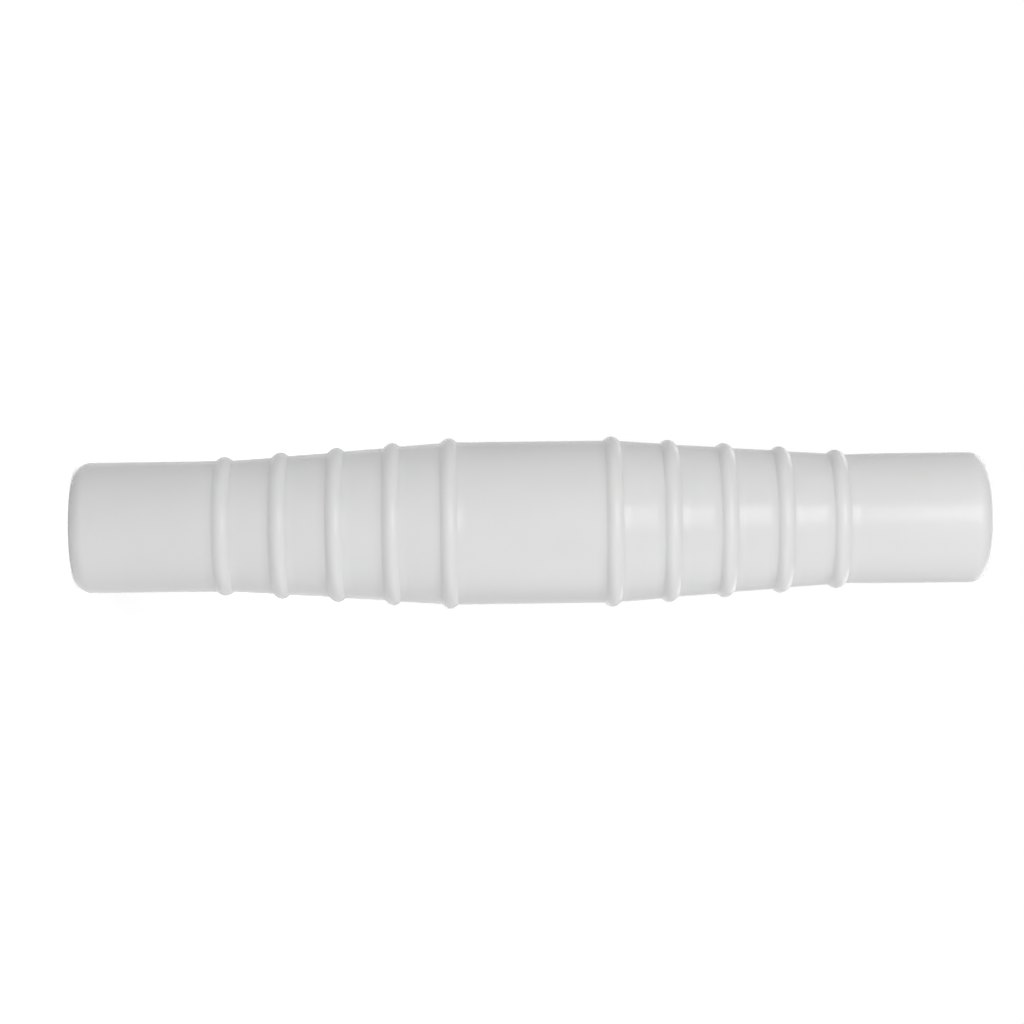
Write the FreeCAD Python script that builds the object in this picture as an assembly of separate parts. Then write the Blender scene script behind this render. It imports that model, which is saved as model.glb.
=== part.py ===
import FreeCAD, Part
import os

# Hose adapter: one hollow moulded piece, open at both ends, that joins two lengths of pool hose.
# It stands on its lower end, with its axis on +Z and the centre of that end at the origin.
# Sizes are in millimetres. A station is a distance along the axis from the middle of the piece.

# Lengths along the axis
middle_length = 39.6        # plain barrel, between the crests of the two innermost rings
first_ring_pitch = 13.92    # innermost ring to the second one
ring_pitch = 13.56          # between the rings after that
rings_per_end = 5
end_length = 36.43          # crest of the outermost ring to the tip

# Diameters and wall
middle_diameter = 39.52
end_diameter = 31.75        # fits the cuff of a 1 1/4 inch hose
mouth_diameter = 21.6
wall = 2.2

# Rings, which stop and seal the cuff
ring_height = 1.06          # crest above the line of the taper
ring_width = 4.3            # foot to foot
ring_fullness = 0.6         # 0 gives a pointed crest with long feet, 1 a broad crest with short feet
land_step = 0.13            # the wall is this much lower just outside a ring than the line of the taper

# Plain ends, which are drawn in or swollen a little beside the outermost ring
neck_length = 14.0
upper_neck_draw = 0.18
lower_neck_draw = -0.08

# Lip, where the wall turns in to the mouth
lip_round = 4.1

middle_radius = middle_diameter / 2
end_radius = end_diameter / 2
mouth_radius = mouth_diameter / 2


def ring_stations():
    """Stations of one end's rings, from the innermost outwards."""
    stations = [middle_length / 2]
    for number in range(1, rings_per_end):
        pitch = first_ring_pitch if number == 1 else ring_pitch
        stations.append(stations[-1] + pitch)
    return stations


stations = ring_stations()
last_station = stations[-1]
tip_station = last_station + end_length
total_length = 2 * tip_station


def point(radius, station):
    """A point of the outline, with its station as its height."""
    return FreeCAD.Vector(radius, 0, station)


def unit(vector):
    return FreeCAD.Vector(vector).normalize()


def taper_radius(station):
    """Radius of the line of the taper, from the barrel down to the plain end."""
    share = (station - stations[0]) / (last_station - stations[0])
    return middle_radius + share * (end_radius - middle_radius)


def land_lines(neck_draw):
    """Wall lines beside the rings, from the barrel to the neck: each ring lies between two of them."""
    lines = [(point(middle_radius, 0), point(middle_radius, stations[0]))]
    for number in range(1, rings_per_end):
        inner = stations[number - 1]
        outer = stations[number]
        step = 0 if number == 1 else land_step
        lines.append((point(taper_radius(inner) - step, inner), point(taper_radius(outer), outer)))
    neck_start = point(end_radius - neck_draw, last_station)
    neck_end = point(end_radius, last_station + neck_length)
    lines.append((neck_start, neck_end))
    return lines


def on_land(land, station):
    """The point of a wall line at a station."""
    start, end = land
    share = (station - start.z) / (end.z - start.z)
    return start + (end - start) * share


def ring(station, land_before, land_after):
    """One ring's outline: a bell curve that leaves the wall on each side without a crease."""
    crest = point(taper_radius(station) + ring_height, station)
    reach = ring_width / 2
    start = on_land(land_before, station - reach)
    end = on_land(land_after, station + reach)
    first_pole = on_land(land_before, station - reach * ring_fullness)
    last_pole = on_land(land_after, station + reach * ring_fullness)
    top_pole = (crest * 16 - start - first_pole * 4 - last_pole * 4 - end) * (1 / 6)
    curve = Part.BezierCurve()
    curve.setPoles([start, first_pole, top_pole, last_pole, end])
    return curve.toShape(), start, end


def as_spline(edge):
    """The same edge as a spline, whose surface of revolution gives far fewer facets."""
    return edge.toNurbs().Edges[0]


def arc(start, middle, end):
    return as_spline(Part.Arc(start, middle, end).toShape())


def line(start, end):
    return Part.LineSegment(start, end).toShape()


def ringed_wall(neck_draw):
    """Outer edges of one end from the barrel's end to the neck, and their first and last points."""
    lands = land_lines(neck_draw)
    edges = []
    first = None
    last = None
    for number, station in enumerate(stations):
        bell, start, end = ring(station, lands[number], lands[number + 1])
        if first is None:
            first = start
        else:
            edges.append(as_spline(line(last, start)))
        edges.append(bell)
        last = end
    return edges, first, last


def path(points):
    """Straight edges from each point to the next."""
    return [line(start, end) for start, end in zip(points, points[1:])]


def lip():
    """The rounded outer corner of the lip, and its first and last points."""
    centre = point(end_radius - lip_round, tip_station - lip_round)
    start = point(end_radius, centre.z)
    end = point(centre.x, tip_station)
    middle = centre + unit(point(1, 1)) * lip_round
    return arc(start, middle, end), start, end


def end_outline(neck_draw):
    """Edges of one end's section, and its outer and inner points at the barrel."""
    outer_edges, outer_start, ring_end = ringed_wall(neck_draw)
    neck_end = point(end_radius, last_station + neck_length)
    lip_edge, lip_start, lip_end = lip()
    bore_radius = end_radius - wall
    bore_corner = lip_round - wall
    inner_start = point(middle_radius - wall, stations[0] / 2)
    inside = [
        lip_end,
        point(mouth_radius, tip_station),
        point(mouth_radius, tip_station - wall),
        point(bore_radius - bore_corner, tip_station - wall),
        point(bore_radius, tip_station - wall - bore_corner),
        point(bore_radius, last_station),
        point(middle_radius - wall, stations[0]),
        inner_start,
    ]
    plain_end = [as_spline(line(ring_end, neck_end)), line(neck_end, lip_start)]
    edges = outer_edges + plain_end + [lip_edge] + path(inside)
    return edges, outer_start, inner_start


def mirrored(edges):
    """The same edges on the other side of the middle of the piece."""
    return [edge.mirror(FreeCAD.Vector(0, 0, 0), FreeCAD.Vector(0, 0, 1)) for edge in edges]


def below(upper_point):
    return FreeCAD.Vector(upper_point.x, 0, -upper_point.z)


def hose_adapter():
    upper, upper_outer, upper_inner = end_outline(upper_neck_draw)
    lower, lower_outer, lower_inner = end_outline(lower_neck_draw)
    edges = upper + mirrored(lower)
    edges.append(line(below(lower_outer), upper_outer))
    edges.append(line(below(lower_inner), upper_inner))
    section = Part.Face(Part.Wire(Part.__sortEdges__(edges)))
    body = section.revolve(FreeCAD.Vector(0, 0, 0), FreeCAD.Vector(0, 0, 1), 360)
    body.translate(FreeCAD.Vector(0, 0, total_length / 2))
    return body.removeSplitter()


os.makedirs("parts", exist_ok=True)
adapter = hose_adapter()
adapter.exportStep("parts/hose_adapter.step")
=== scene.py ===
import math

import bpy
from mathutils import Matrix, Vector


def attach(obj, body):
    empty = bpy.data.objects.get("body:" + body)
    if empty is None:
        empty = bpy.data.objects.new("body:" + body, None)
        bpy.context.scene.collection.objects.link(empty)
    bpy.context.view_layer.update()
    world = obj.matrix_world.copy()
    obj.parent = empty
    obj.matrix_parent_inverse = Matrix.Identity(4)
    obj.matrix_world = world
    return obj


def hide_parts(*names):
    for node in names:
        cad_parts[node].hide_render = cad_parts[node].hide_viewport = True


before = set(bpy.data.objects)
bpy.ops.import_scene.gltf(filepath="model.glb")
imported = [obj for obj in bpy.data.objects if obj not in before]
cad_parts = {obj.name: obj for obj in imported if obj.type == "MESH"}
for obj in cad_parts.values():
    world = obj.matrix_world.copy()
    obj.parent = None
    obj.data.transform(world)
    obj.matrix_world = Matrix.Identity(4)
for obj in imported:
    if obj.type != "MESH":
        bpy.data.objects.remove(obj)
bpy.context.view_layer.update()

# Hose adapter: one hollow moulded piece, open at both ends, that joins two lengths of pool hose.
# It stands on its lower end, with its axis on +Z and the centre of that end at the origin.
# Sizes are in millimetres. A station is a distance along the axis from the middle of the piece.
PER_METRE = 1000

# Lengths along the axis
MIDDLE_LENGTH = 39.6        # plain barrel, between the crests of the two innermost rings
FIRST_RING_PITCH = 13.92    # innermost ring to the second one
RING_PITCH = 13.56          # between the rings after that
RINGS_PER_END = 5
END_LENGTH = 36.43          # crest of the outermost ring to the tip

# Radii and wall
MIDDLE_RADIUS = 19.76
END_RADIUS = 15.875
MOUTH_RADIUS = 10.8
WALL = 2.2

# Rings, whose crests are a little lower, narrower and fuller than those of the solid
RING_HEIGHT = 1.01          # crest above the line of the taper
RING_WIDTH = 4.12           # foot to foot
RING_FULLNESS = 0.88        # 0 gives a pointed crest with long feet, 1 a broad crest with short feet
LAND_STEP = 0.13            # the wall is this much lower just outside a ring than the line of the taper

# Plain ends, which are drawn in or swollen a little beside the outermost ring
NECK_LENGTH = 14.0
UPPER_NECK_DRAW = 0.18
LOWER_NECK_DRAW = -0.08

# Lip, where the wall turns in to the mouth
LIP_ROUND = 4.1
MOUTH_EDGE_ROUND = 0.35
BORE_CORNER = LIP_ROUND - WALL

# How finely the outline is divided
TURNS = 192
RING_STEPS = 24
LIP_STEPS = 18
BORE_CORNER_STEPS = 9
MOUTH_EDGE_STEPS = 5
LONGEST_RUN = 2.4

# Plastic: its greys, its roughness and the light in its skin
DARKEST_GREY = 0.81
PALEST_GREY = 0.83
LEAST_ROUGHNESS = 0.225
MOST_ROUGHNESS = 0.268
REFRACTIVE_INDEX = 1.5
SPECULAR_LEVEL = 0.22
MILKINESS = 0.8
LIGHT_SPREAD = 0.002        # metres that light travels under the skin
COLOUR_SPREAD = (1.0, 0.95, 0.9)

# Noises on the plastic, in bumps per millimetre, and the heights of two of them in metres
CLOUDS_PER_MM = 0.05
SHEEN_PER_MM = 0.06
WAVES_PER_MM = 0.1
WAVE_HEIGHT = 0.00012
GRAIN_PER_MM = 1.6
GRAIN_HEIGHT = 0.000002
NOISE_LOW = 0.15            # a noise seldom goes below this value or above the next one
NOISE_HIGH = 0.85

# The camera, in millimetres and degrees, and its near and far limits in metres
CAMERA_DISTANCE = 665.0
CAMERA_HEIGHT = 98.8
AIM_HEIGHT = 106.3
CAMERA_ASIDE = -2.63
ROLL = 0.703
LENS = 95.88
SENSOR_WIDTH = 36
NEAR_LIMIT = 0.05
FAR_LIMIT = 200

# Floor and surroundings, in metres; the floor's own light grows from its least value to full white
AMBIENT = 0.015
FLOOR_HALF = 60
FLOOR_GREY = 0.85
LEAST_GLOW = 0.63
SHADOW_REACH = 0.25
WHITE_REACH = 1.1

# Softboxes: name, place, width and height in metres, and watts
SOFTBOXES = [
    ("key", (-0.14, -1.0, 0.62), 0.5, 0.6, 7.2),
    ("right", (1.18, -0.2, 0.3), 1.2, 0.9, 4.9),
    ("left", (-1.19, -0.1, 0.3), 1.2, 0.9, 0.85),
    ("upper", (0.0, -0.9, 0.95), 1.0, 0.8, 1.9),
    ("right_rim", (0.9, 0.5, 0.65), 0.8, 0.8, 1.35),
    ("left_rim", (-0.9, 0.5, 0.65), 0.8, 0.8, 0.65),
    ("back", (0.0, 0.85, 0.85), 1.4, 0.7, 3.4),
]


def ring_stations():
    """Stations of one end's rings, from the innermost outwards."""
    stations = [MIDDLE_LENGTH / 2]
    for number in range(1, RINGS_PER_END):
        pitch = FIRST_RING_PITCH if number == 1 else RING_PITCH
        stations.append(stations[-1] + pitch)
    return stations


STATIONS = ring_stations()
LAST_STATION = STATIONS[-1]
TIP = LAST_STATION + END_LENGTH


def taper_radius(station):
    """Radius of the line of the taper, from the barrel down to the plain end."""
    share = (station - STATIONS[0]) / (LAST_STATION - STATIONS[0])
    return MIDDLE_RADIUS + share * (END_RADIUS - MIDDLE_RADIUS)


def land_lines(neck_draw):
    """Wall lines beside the rings, each as two points of radius and station."""
    lines = [(Vector((MIDDLE_RADIUS, 0)), Vector((MIDDLE_RADIUS, STATIONS[0])))]
    for number in range(1, RINGS_PER_END):
        inner = STATIONS[number - 1]
        outer = STATIONS[number]
        step = 0 if number == 1 else LAND_STEP
        start = Vector((taper_radius(inner) - step, inner))
        lines.append((start, Vector((taper_radius(outer), outer))))
    neck_start = Vector((END_RADIUS - neck_draw, LAST_STATION))
    neck_end = Vector((END_RADIUS, LAST_STATION + NECK_LENGTH))
    lines.append((neck_start, neck_end))
    return lines


def on_land(land, station):
    """The point of a wall line at a station."""
    start, end = land
    share = (station - start.y) / (end.y - start.y)
    return start.lerp(end, share)


def ring_points(station, land_before, land_after):
    """One ring's outline, a bell curve that leaves the wall on each side without a crease."""
    crest = Vector((taper_radius(station) + RING_HEIGHT, station))
    reach = RING_WIDTH / 2
    start = on_land(land_before, station - reach)
    end = on_land(land_after, station + reach)
    first = on_land(land_before, station - reach * RING_FULLNESS)
    last = on_land(land_after, station + reach * RING_FULLNESS)
    top = (crest * 16 - start - first * 4 - last * 4 - end) / 6
    points = []
    for step in range(RING_STEPS + 1):
        t = step / RING_STEPS
        s = 1 - t
        point = start * s**4 + first * (4 * s**3 * t) + top * (6 * s * s * t * t)
        points.append(point + last * (4 * s * t**3) + end * t**4)
    return points


def arc_points(centre, radius, start_angle, end_angle, steps):
    """Points of an arc in the section; angle 0 points away from the axis and 90 to the tip."""
    points = []
    for step in range(steps + 1):
        angle = math.radians(start_angle + (end_angle - start_angle) * step / steps)
        points.append(centre + Vector((math.cos(angle), math.sin(angle))) * radius)
    return points


def lip_points():
    """Outline of the lip, from the plain end over the mouth to the end's bore."""
    centre = Vector((END_RADIUS - LIP_ROUND, TIP - LIP_ROUND))
    edge = MOUTH_EDGE_ROUND
    outer_edge = Vector((MOUTH_RADIUS + edge, TIP - edge))
    inner_edge = Vector((MOUTH_RADIUS + edge, TIP - WALL + edge))
    corner = Vector((END_RADIUS - WALL - BORE_CORNER, TIP - WALL - BORE_CORNER))
    points = arc_points(centre, LIP_ROUND, 0, 90, LIP_STEPS)
    points += arc_points(outer_edge, edge, 90, 180, MOUTH_EDGE_STEPS)
    points += arc_points(inner_edge, edge, 180, 270, MOUTH_EDGE_STEPS)
    points += arc_points(corner, BORE_CORNER, 90, 0, BORE_CORNER_STEPS)
    return points


def end_points(neck_draw):
    """Outline of one end, from the barrel's outside over the lip to the barrel's bore."""
    lands = land_lines(neck_draw)
    points = []
    for number, station in enumerate(STATIONS):
        points += ring_points(station, lands[number], lands[number + 1])
    points.append(lands[-1][1])
    points += lip_points()
    points.append(Vector((END_RADIUS - WALL, LAST_STATION)))
    points.append(Vector((MIDDLE_RADIUS - WALL, STATIONS[0])))
    return points


def divided(points):
    """The closed outline with its long runs cut up, so that no face is much longer than the rest."""
    result = []
    for here, following in zip(points, points[1:] + points[:1]):
        cuts = max(1, math.ceil((following - here).length / LONGEST_RUN))
        for cut in range(cuts):
            result.append(here.lerp(following, cut / cuts))
    return result


def adapter_outline():
    """The whole section's outline, as metres of radius and of height above the lower end."""
    upper = end_points(UPPER_NECK_DRAW)
    lower = [Vector((point.x, -point.y)) for point in end_points(LOWER_NECK_DRAW)]
    outline = []
    for point in divided(upper + lower[::-1]):
        outline.append((point.x / PER_METRE, (point.y + TIP) / PER_METRE))
    return outline


def turned_vertices(outline):
    """The outline's points at every turn round the Z axis."""
    vertices = []
    for turn in range(TURNS):
        angle = 2 * math.pi * turn / TURNS
        for radius, height in outline:
            vertices.append((radius * math.cos(angle), radius * math.sin(angle), height))
    return vertices


def turned_faces(count):
    """Faces between the turns of an outline of that many points."""
    faces = []
    for turn in range(TURNS):
        this = turn * count
        other = (turn + 1) % TURNS * count
        for number in range(count):
            after = (number + 1) % count
            faces.append((this + number, other + number, other + after, this + after))
    return faces


def turned_mesh(name, outline):
    """A closed mesh made by turning the outline round the Z axis."""
    mesh = bpy.data.meshes.new(name)
    mesh.from_pydata(turned_vertices(outline), [], turned_faces(len(outline)))
    mesh.validate()
    mesh.shade_smooth()
    mesh.update()
    return mesh


def link(tree, source, output, target, socket):
    """Joins one node's output to another node's input."""
    tree.links.new(source.outputs[output], target.inputs[socket])


def grey(value):
    """A grey of that value, opaque."""
    return (value, value, value, 1)


def millimetre_space(tree):
    """The piece's own coordinates, in millimetres."""
    place = tree.nodes.new("ShaderNodeTexCoord")
    scaled = tree.nodes.new("ShaderNodeMapping")
    scaled.inputs["Scale"].default_value = (PER_METRE, PER_METRE, PER_METRE)
    link(tree, place, "Object", scaled, "Vector")
    return scaled


def noise(tree, coordinates, scale, detail):
    """A noise texture; scale is in bumps per millimetre."""
    node = tree.nodes.new("ShaderNodeTexNoise")
    node.inputs["Scale"].default_value = scale
    node.inputs["Detail"].default_value = detail
    link(tree, coordinates, 0, node, "Vector")
    return node


def remapped(tree, source, low, high):
    """A noise's values spread smoothly from low to high."""
    node = tree.nodes.new("ShaderNodeMapRange")
    node.interpolation_type = "SMOOTHSTEP"
    node.inputs["From Min"].default_value = NOISE_LOW
    node.inputs["From Max"].default_value = NOISE_HIGH
    node.inputs["To Min"].default_value = low
    node.inputs["To Max"].default_value = high
    link(tree, source, 0, node, "Value")
    return node


def bumped(tree, height, distance, before=None):
    """A bump of that many metres, laid over an earlier one if there is one."""
    node = tree.nodes.new("ShaderNodeBump")
    node.inputs["Strength"].default_value = 1.0
    node.inputs["Distance"].default_value = distance
    link(tree, height, 0, node, "Height")
    if before:
        link(tree, before, 0, node, "Normal")
    return node


def add_tint(tree, space, shader):
    """Faint clouds of a paler and a darker grey."""
    clouds = noise(tree, space, CLOUDS_PER_MM, 1.0)
    tint = tree.nodes.new("ShaderNodeMix")
    tint.data_type = "RGBA"
    tint.inputs["A"].default_value = grey(DARKEST_GREY)
    tint.inputs["B"].default_value = grey(PALEST_GREY)
    link(tree, remapped(tree, clouds, 0.0, 1.0), 0, tint, "Factor")
    link(tree, tint, "Result", shader, "Base Color")


def add_sheen(tree, space, shader):
    """Patches where the satin skin is a little duller."""
    patches = noise(tree, space, SHEEN_PER_MM, 0.0)
    roughness = remapped(tree, patches, LEAST_ROUGHNESS, MOST_ROUGHNESS)
    link(tree, roughness, 0, shader, "Roughness")


def add_relief(tree, space, shader):
    """Broad waves left by the mould, and a fine grain over them."""
    waves = bumped(tree, noise(tree, space, WAVES_PER_MM, 1.0), WAVE_HEIGHT)
    grain = bumped(tree, noise(tree, space, GRAIN_PER_MM, 4.0), GRAIN_HEIGHT, waves)
    link(tree, grain, 0, shader, "Normal")


def white_plastic():
    """Milky polyethylene with a satin skin that is a little uneven from the mould."""
    material = bpy.data.materials.new("white_plastic")
    material.use_nodes = True
    tree = material.node_tree
    shader = tree.nodes["Principled BSDF"]
    space = millimetre_space(tree)
    add_tint(tree, space, shader)
    add_sheen(tree, space, shader)
    add_relief(tree, space, shader)
    shader.inputs["IOR"].default_value = REFRACTIVE_INDEX
    shader.inputs["Specular IOR Level"].default_value = SPECULAR_LEVEL
    shader.inputs["Subsurface Weight"].default_value = MILKINESS
    shader.inputs["Subsurface Radius"].default_value = COLOUR_SPREAD
    shader.inputs["Subsurface Scale"].default_value = LIGHT_SPREAD
    return material


def adapter():
    """The visible piece, a mesh finer than the solid's."""
    piece = bpy.data.objects.new("adapter_body", turned_mesh("adapter_body", adapter_outline()))
    bpy.context.scene.collection.objects.link(piece)
    piece.data.materials.append(white_plastic())
    return piece


def larger(tree, first, second):
    """The larger of two outputs' values."""
    node = tree.nodes.new("ShaderNodeMath")
    node.operation = "MAXIMUM"
    tree.links.new(first, node.inputs[0])
    tree.links.new(second, node.inputs[1])
    return node.outputs[0]


def background_share(tree):
    """1 for the rays that see the background as it is, and 0 for those that carry light."""
    rays = tree.nodes.new("ShaderNodeLightPath")
    straight = larger(tree, rays.outputs["Is Camera Ray"], rays.outputs["Is Glossy Ray"])
    return larger(tree, straight, rays.outputs["Is Transmission Ray"])


def mixed(tree, carried, seen):
    """The second shader for the rays that see the background, and the first for all others."""
    mix = tree.nodes.new("ShaderNodeMixShader")
    tree.links.new(background_share(tree), mix.inputs[0])
    link(tree, carried, 0, mix, 1)
    link(tree, seen, 0, mix, 2)
    return mix


def light_world():
    """White behind the object, and a faint even light on it."""
    world = bpy.data.worlds.new("studio")
    bpy.context.scene.world = world
    world.use_nodes = True
    tree = world.node_tree
    light = tree.nodes["Background"]
    light.inputs["Color"].default_value = grey(1)
    light.inputs["Strength"].default_value = AMBIENT
    white = tree.nodes.new("ShaderNodeBackground")
    white.inputs["Color"].default_value = grey(1)
    white.inputs["Strength"].default_value = 1.0
    link(tree, mixed(tree, light, white), 0, tree.nodes["World Output"], "Surface")


def floor_glow(tree):
    """Light of the floor's own for the rays that see it, full white away from the adapter."""
    place = tree.nodes.new("ShaderNodeTexCoord")
    distance = tree.nodes.new("ShaderNodeVectorMath")
    distance.operation = "LENGTH"
    link(tree, place, "Object", distance, 0)
    strength = tree.nodes.new("ShaderNodeMapRange")
    strength.interpolation_type = "SMOOTHSTEP"
    strength.inputs["From Min"].default_value = SHADOW_REACH
    strength.inputs["From Max"].default_value = WHITE_REACH
    strength.inputs["To Min"].default_value = LEAST_GLOW
    strength.inputs["To Max"].default_value = 1.0
    link(tree, distance, "Value", strength, "Value")
    glow = tree.nodes.new("ShaderNodeEmission")
    link(tree, strength, 0, glow, "Strength")
    return glow


def floor_material():
    """A pale floor that looks as white as the background, apart from the shadow on it."""
    material = bpy.data.materials.new("floor")
    material.use_nodes = True
    tree = material.node_tree
    tree.nodes.remove(tree.nodes["Principled BSDF"])
    shaded = tree.nodes.new("ShaderNodeBsdfDiffuse")
    shaded.inputs["Color"].default_value = grey(FLOOR_GREY)
    glowing = tree.nodes.new("ShaderNodeAddShader")
    link(tree, shaded, 0, glowing, 0)
    link(tree, floor_glow(tree), 0, glowing, 1)
    link(tree, mixed(tree, shaded, glowing), 0, tree.nodes["Material Output"], "Surface")
    return material


def floor():
    """The wide flat floor that the adapter stands on."""
    corners = [(-1, -1), (1, -1), (1, 1), (-1, 1)]
    mesh = bpy.data.meshes.new("floor")
    mesh.from_pydata([(x * FLOOR_HALF, y * FLOOR_HALF, 0) for x, y in corners], [], [(0, 1, 2, 3)])
    mesh.materials.append(floor_material())
    plane = bpy.data.objects.new("floor", mesh)
    bpy.context.scene.collection.objects.link(plane)
    return plane


def area_light(name, place, width, height, power):
    """A rectangular light that faces the middle of the adapter; its height runs upwards."""
    light = bpy.data.lights.new(name, "AREA")
    light.shape = "RECTANGLE"
    light.size = width
    light.size_y = height
    light.energy = power
    lamp = bpy.data.objects.new(name, light)
    bpy.context.scene.collection.objects.link(lamp)
    lamp.location = place
    lamp.rotation_mode = "QUATERNION"
    to_middle = Vector((0, 0, TIP / PER_METRE)) - Vector(place)
    lamp.rotation_quaternion = to_middle.to_track_quat("-Z", "Y")


def camera_turn():
    """The camera's turn: the adapter's upper end points to the right of the picture."""
    forward = Vector((0, CAMERA_DISTANCE, AIM_HEIGHT - CAMERA_HEIGHT)).normalized()
    along = Vector((0, 0, 1))
    level_right = (along - forward * along.dot(forward)).normalized()
    level_up = level_right.cross(forward)
    roll = math.radians(ROLL)
    right = level_right * math.cos(roll) - level_up * math.sin(roll)
    up = level_right * math.sin(roll) + level_up * math.cos(roll)
    return Matrix((right, up, -forward)).transposed().to_4x4()


def camera():
    """The photograph's view, with the adapter across the middle of the picture."""
    lens = bpy.data.cameras.new("camera")
    lens.lens = LENS
    lens.sensor_width = SENSOR_WIDTH
    lens.clip_start = NEAR_LIMIT
    lens.clip_end = FAR_LIMIT
    viewer = bpy.data.objects.new("camera", lens)
    bpy.context.scene.collection.objects.link(viewer)
    place = Vector((CAMERA_ASIDE, -CAMERA_DISTANCE, CAMERA_HEIGHT)) / PER_METRE
    viewer.matrix_world = Matrix.Translation(place) @ camera_turn()
    bpy.context.scene.camera = viewer


piece = adapter()
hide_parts("hose_adapter")
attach(piece, "root")

floor()
light_world()
for softbox in SOFTBOXES:
    area_light(*softbox)
camera()
bpy.context.scene.view_settings.view_transform = "Standard"
